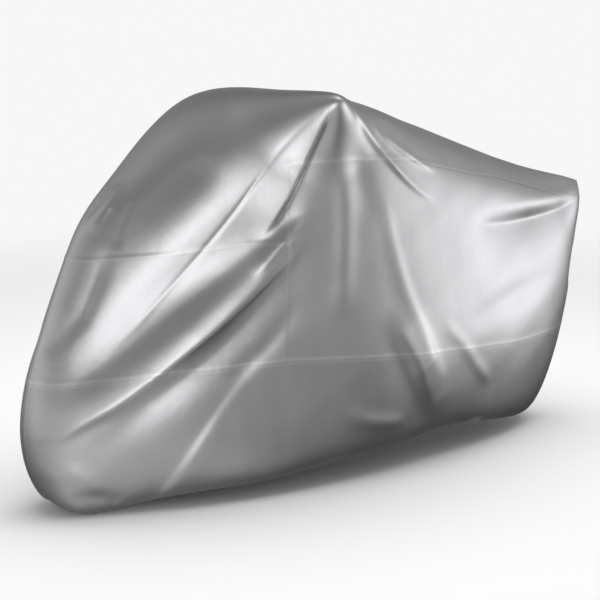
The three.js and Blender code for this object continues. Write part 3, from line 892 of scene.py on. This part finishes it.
def thicken(panel):
    thick = panel.modifiers.new("thickness", "SOLIDIFY")
    thick.thickness = CLOTH_THICKNESS
    thick.offset = -1
    bpy.context.view_layer.objects.active = panel
    bpy.ops.object.modifier_apply(modifier=thick.name)
    panel.data.set_sharp_from_angle(angle=CUT_EDGE_ANGLE)


# %% [markdown]
# The laps are stacked the way they are sewn: the sides lie over the skirt, the rear sides
# over the front ones, and the top panel over all of them, like tiles on a roof.

# %% Where each panel lies
SIDE_LIFT = 0.35
UPRIGHT_LIFT = 0.4
TOP_LIFT = 0.8
ALL_STATIONS = columns_between(0, 1)
FRONT_STATIONS = columns_between(0, UPRIGHT_SEAM_AT)
REAR_STATIONS = columns_between(UPRIGHT_SEAM_AT, 1)
LAPPED_REAR_STATIONS = columns_between(UPRIGHT_SEAM_AT, 1, lapped=True)


def skirt_panel(side):
    return [cloth_block(side, ALL_STATIONS, rows_between(ALL_STATIONS, HEM, SKIRT, SKIRT_ROWS))]


def front_side(side):
    rows = rows_between(FRONT_STATIONS, SKIRT, FLANK, FLANK_ROWS, lapped=True)
    return [cloth_block(side, FRONT_STATIONS, rows, SKIRT, SIDE_LIFT)]


def rear_side(side):
    count = FLANK_ROWS + SHOULDER_ROWS
    rows = rows_between(LAPPED_REAR_STATIONS, SKIRT, SHOULDER, count, lapped=True)
    return [cloth_block(side, LAPPED_REAR_STATIONS, rows, SKIRT, SIDE_LIFT, UPRIGHT_LIFT)]


def top_half(side):
    front_low = rows_between(FRONT_STATIONS, FLANK, SHOULDER, SHOULDER_ROWS, lapped=True)
    front_high = rows_between(FRONT_STATIONS, SHOULDER, SPINE, CROWN_ROWS)
    rear = rows_between(REAR_STATIONS, SHOULDER, SPINE, CROWN_ROWS, lapped=True)
    return [
        cloth_block(side, FRONT_STATIONS, front_low, FLANK, TOP_LIFT),
        cloth_block(side, FRONT_STATIONS, front_high),
        cloth_block(side, REAR_STATIONS, rear, SHOULDER, TOP_LIFT),
    ]


# %% The seven panels
PANELS = {"top_panel": sew("top_cloth", top_half(LEFT) + top_half(RIGHT))}
for side, word in ((LEFT, "left"), (RIGHT, "right")):
    PANELS[f"side_front_{word}"] = sew(f"front_cloth_{word}", front_side(side))
    PANELS[f"side_rear_{word}"] = sew(f"rear_cloth_{word}", rear_side(side))
for side, word in ((LEFT, "left"), (RIGHT, "right")):
    PANELS[f"skirt_{word}"] = sew(f"skirt_cloth_{word}", skirt_panel(side))

for node, panel in PANELS.items():
    thicken(panel)

# %% [markdown]
# ## The silver coating
#
# The cloth is woven of grey yarn and coated with aluminium flakes in a clear binder. That
# makes it half metal, half paint: a metallic shader with a broad highlight and a thin clear
# coat. Seen at a slant the binder dulls the flakes, which the shader's edge tint does.
#
# The tone varies a little from place to place, and a highlight is painted into the colour on
# the folded edge of each seam, where the fold catches the light.

# %% Tone, and the painted highlight on the seams
PATCH_SCALE = 5.5
PATCH_EDGES = (0.3, 0.72)
# Painted highlight: the pale tone that the colour is drawn towards along the seams, standing in for
# light that their folded edges catch.
SEAM_HIGHLIGHT_TONE = (0.9, 0.9, 0.9, 1)
SEAM_HIGHLIGHT_SHARE = 0.4


def patchy_tone(tree, patches, tone, dulling):
    """A tone that is duller in some patches than in others."""
    tones = add_node(tree, "ValToRGB", {"Fac": patches})
    dull, full = tones.color_ramp.elements
    dull.position, full.position = PATCH_EDGES
    dull.color = (*(c * (1 - dulling) for c in tone), 1)
    full.color = (*tone, 1)
    return tones.outputs["Color"]


# Paints a highlight into the colour along the seams.
def painted_seam_highlight(tree, tone):
    seam = add_node(tree, "Attribute", attribute_name="seam").outputs["Fac"]
    share = calculate(tree, "MULTIPLY", seam, SEAM_HIGHLIGHT_SHARE)
    lightened = add_node(tree, "Mix", {"Factor": share, "A": tone, "B": SEAM_HIGHLIGHT_TONE}, data_type="RGBA")
    return lightened.outputs["Result"]


# %% [markdown]
# The weave shows through as a fine bump: two sets of waves at right angles, for warp and
# weft. Over it lies the soft crinkle of a coated sheet that has been folded away.

# %% Weave and crinkle
YARN_SCALE = 260
WEAVE_STRENGTH, WEAVE_DEPTH = 0.12, 0.0002
CRINKLE_SCALE = 38
CRINKLE_STRENGTH, CRINKLE_DEPTH = 0.18, 0.002


def yarns(tree, turn):
    """Waves that run across the cloth coordinates, turned by an angle."""
    cloth = add_node(tree, "UVMap", uv_map="cloth").outputs["UV"]
    turned = add_node(tree, "Mapping", {"Vector": cloth, "Rotation": (0, 0, turn)})
    waves = {"Vector": turned.outputs["Vector"], "Scale": YARN_SCALE}
    return add_node(tree, "TexWave", waves).outputs["Fac"]


def cloth_bump(tree, place):
    weave = calculate(tree, "MULTIPLY", yarns(tree, 0.0), yarns(tree, math.pi / 2))
    weave_bump = add_node(
        tree, "Bump", {"Strength": WEAVE_STRENGTH, "Distance": WEAVE_DEPTH, "Height": weave})
    crinkles = add_node(
        tree, "TexNoise", {"Vector": place, "Scale": CRINKLE_SCALE, "Detail": 4}).outputs["Fac"]
    crinkle_bump = add_node(
        tree, "Bump", {"Strength": CRINKLE_STRENGTH, "Distance": CRINKLE_DEPTH,
                       "Height": crinkles, "Normal": weave_bump.outputs["Normal"]})
    return crinkle_bump.outputs["Normal"]


# %% A material for coated cloth
COATING = {
    "Metallic": 0.95,
    "Specular Tint": (0.52, 0.52, 0.53, 1),
    "Coat Weight": 0.06,
    "Coat Roughness": 0.32,
}
GLOSSY, DULL = 0.29, 0.36


def coated_cloth(name, tone, dulling):
    finish, tree, shader = new_finish(name, COATING)
    place = add_node(tree, "TexCoord").outputs["Object"]
    patches = add_node(
        tree, "TexNoise", {"Vector": place, "Scale": PATCH_SCALE, "Detail": 5}).outputs["Fac"]
    colour = painted_seam_highlight(tree, patchy_tone(tree, patches, tone, dulling))
    gloss = add_node(tree, "MapRange", {"Value": patches, "To Min": GLOSSY, "To Max": DULL})
    tree.links.new(colour, shader.inputs["Base Color"])
    tree.links.new(gloss.outputs["Result"], shader.inputs["Roughness"])
    tree.links.new(cloth_bump(tree, place), shader.inputs["Normal"])
    return finish


# %% The three finishes
SILVER = (0.46, 0.46, 0.47)
SKIRT_SILVER = (0.44, 0.44, 0.45)
FINISHES = {
    "crown_cloth": coated_cloth("crown_silver", SILVER, 0.05),
    "side_cloth": coated_cloth("side_silver", SILVER, 0.05),
    "skirt_cloth": coated_cloth("skirt_silver", SKIRT_SILVER, 0.09),
}
SLOT_OF = {part["node"]: part["material_slot"] for part in frame["record"]["subparts"]}
for node, panel in PANELS.items():
    panel.data.materials.append(FINISHES[SLOT_OF[node]])
print("finishes:", sorted(FINISHES))

# %% [markdown]
# ## Stitching
#
# Each lapped seam is held by two rows of lockstitch, and the hem by one. A stitch is a short
# length of thread that dips into the cloth at both ends, so it is made as a small grain, laid
# on the draped surface and repeated along the seam.

# %% One stitch
STITCH_LENGTH = 4.4
STITCH_PITCH = 6.4
THREAD_RADIUS = 0.32
THREAD_LIFT = 0.15
GRAIN_SHARES = (0.18, 0.82)

# A grain's corners: its start, two rings of four, and its end.
GRAIN_FACES = [(0, 1 + (k + 1) % 4, 1 + k) for k in range(4)]
GRAIN_FACES += [(9, 5 + k, 5 + (k + 1) % 4) for k in range(4)]
GRAIN_FACES += [(1 + k, 1 + (k + 1) % 4, 5 + (k + 1) % 4, 5 + k) for k in range(4)]


def stitch_grains(start, end, normal):
    """The corners of grains of thread that run from start to end points."""
    along = end - start
    across = np.cross(along, normal)
    across /= np.linalg.norm(across, axis=-1, keepdims=True)
    rings = []
    for share in GRAIN_SHARES:
        middle = start + share * along
        for x, z in ((1, 0), (0, 1), (-1, 0), (0, -1)):
            rings.append(middle + THREAD_RADIUS * (x * across + z * normal))
    return np.stack([start, *rings, end], axis=1)


# %% Rows of stitches
STITCH_ROWS = (3.0, 8.0)  # millimetres from the seam
HEM_STITCH_BAND = 0.13
HEM_STITCHES_FROM, HEM_STITCHES_TO = 0.02, 0.98


def sew_row(side, station, band, lift):
    """Grains along a row, from the stations and bands of the two ends of every stitch."""
    place, normal, _ = drape(station, band, side)
    place = place + (lift + THREAD_LIFT) * normal
    return stitch_grains(place[0::2], place[1::2], normal[0::2])


def stitch_ends(line, low, high):
    """Shares for the two ends of every stitch on a line that runs from low to high."""
    length = line_length(line)
    count = int(length // STITCH_PITCH)
    starts = low + (high - low) * np.arange(count) / count
    ends = starts + (high - low) * STITCH_LENGTH / length
    return np.stack([starts, ends], axis=1).ravel()


def long_seam(side, seam, low, high, lift):
    station = stitch_ends(seam_line(side, np.linspace(low, high, 90), seam), low, high)
    return [sew_row(side, station, below_seam(station, seam, row), lift) for row in STITCH_ROWS]


def upright_seam(side):
    line = seam_line(side, UPRIGHT_SEAM_AT, np.linspace(SKIRT, SHOULDER, 60))
    band = stitch_ends(line, SKIRT, SHOULDER)
    ahead = [np.full(band.size, UPRIGHT_SEAM_AT - row / CLOTH_LENGTH) for row in STITCH_ROWS]
    return [sew_row(side, station, band, UPRIGHT_LIFT) for station in ahead]


def hem_row(side):
    low, high = HEM_STITCHES_FROM, HEM_STITCHES_TO
    line = seam_line(side, np.linspace(low, high, 90), HEM_STITCH_BAND)
    station = stitch_ends(line, low, high)
    return [sew_row(side, station, np.full(station.size, HEM_STITCH_BAND), 0.0)]


# %% Thread
THREAD_TONES = ((0.42, 0.42, 0.43, 1), (0.6, 0.6, 0.6, 1))
TWIST_SCALE = 900


def thread_finish():
    """Pale spun yarn: a little fuzzy, and never the same tone all along."""
    finish, tree, shader = new_finish("pale_thread", {"Roughness": 0.55, "Sheen Weight": 0.3})
    twist = add_node(tree, "TexNoise", {"Scale": TWIST_SCALE}).outputs["Fac"]
    tones = add_node(tree, "ValToRGB", {"Fac": twist})
    for stop, tone in zip(tones.color_ramp.elements, THREAD_TONES):
        stop.color = tone
    tree.links.new(tones.outputs["Color"], shader.inputs["Base Color"])
    return finish


def thread(name, rows):
    grains = np.concatenate(rows)
    corners = grains.shape[1]
    faces = [tuple(corner + corners * number for corner in face)
             for number in range(len(grains)) for face in GRAIN_FACES]
    piece = smooth_mesh(name, to_frame(grains.reshape(-1, 3)).tolist(), faces)
    piece.data.materials.append(THREAD)
    print(name, len(grains), "stitches")
    return piece


# %% Sewing the seams
THREAD = thread_finish()
THREADS = []
for side, word in ((LEFT, "left"), (RIGHT, "right")):
    rows = long_seam(side, SKIRT, 0.0, 1.0, SIDE_LIFT) + hem_row(side)
    THREADS.append(thread(f"skirt_stitches_{word}", rows))
    rows = long_seam(side, FLANK, 0.0, UPRIGHT_SEAM_AT, TOP_LIFT)
    rows += long_seam(side, SHOULDER, UPRIGHT_SEAM_AT, 1.0, TOP_LIFT)
    rows += upright_seam(side)
    THREADS.append(thread(f"side_stitches_{word}", rows))

# %% [markdown]
# ## Hanging the pieces on the frame
#
# Every panel stands for one solid, which is hidden, and hangs on what carries the cover. The
# rows of stitches hang there too.

for node, panel in PANELS.items():
    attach(panel, "root")
    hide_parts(node)
for piece in THREADS:
    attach(piece, "root")

# %% Finish
print("solid box:", [[round(v, 3) for v in c] for c in CAD_BOX])
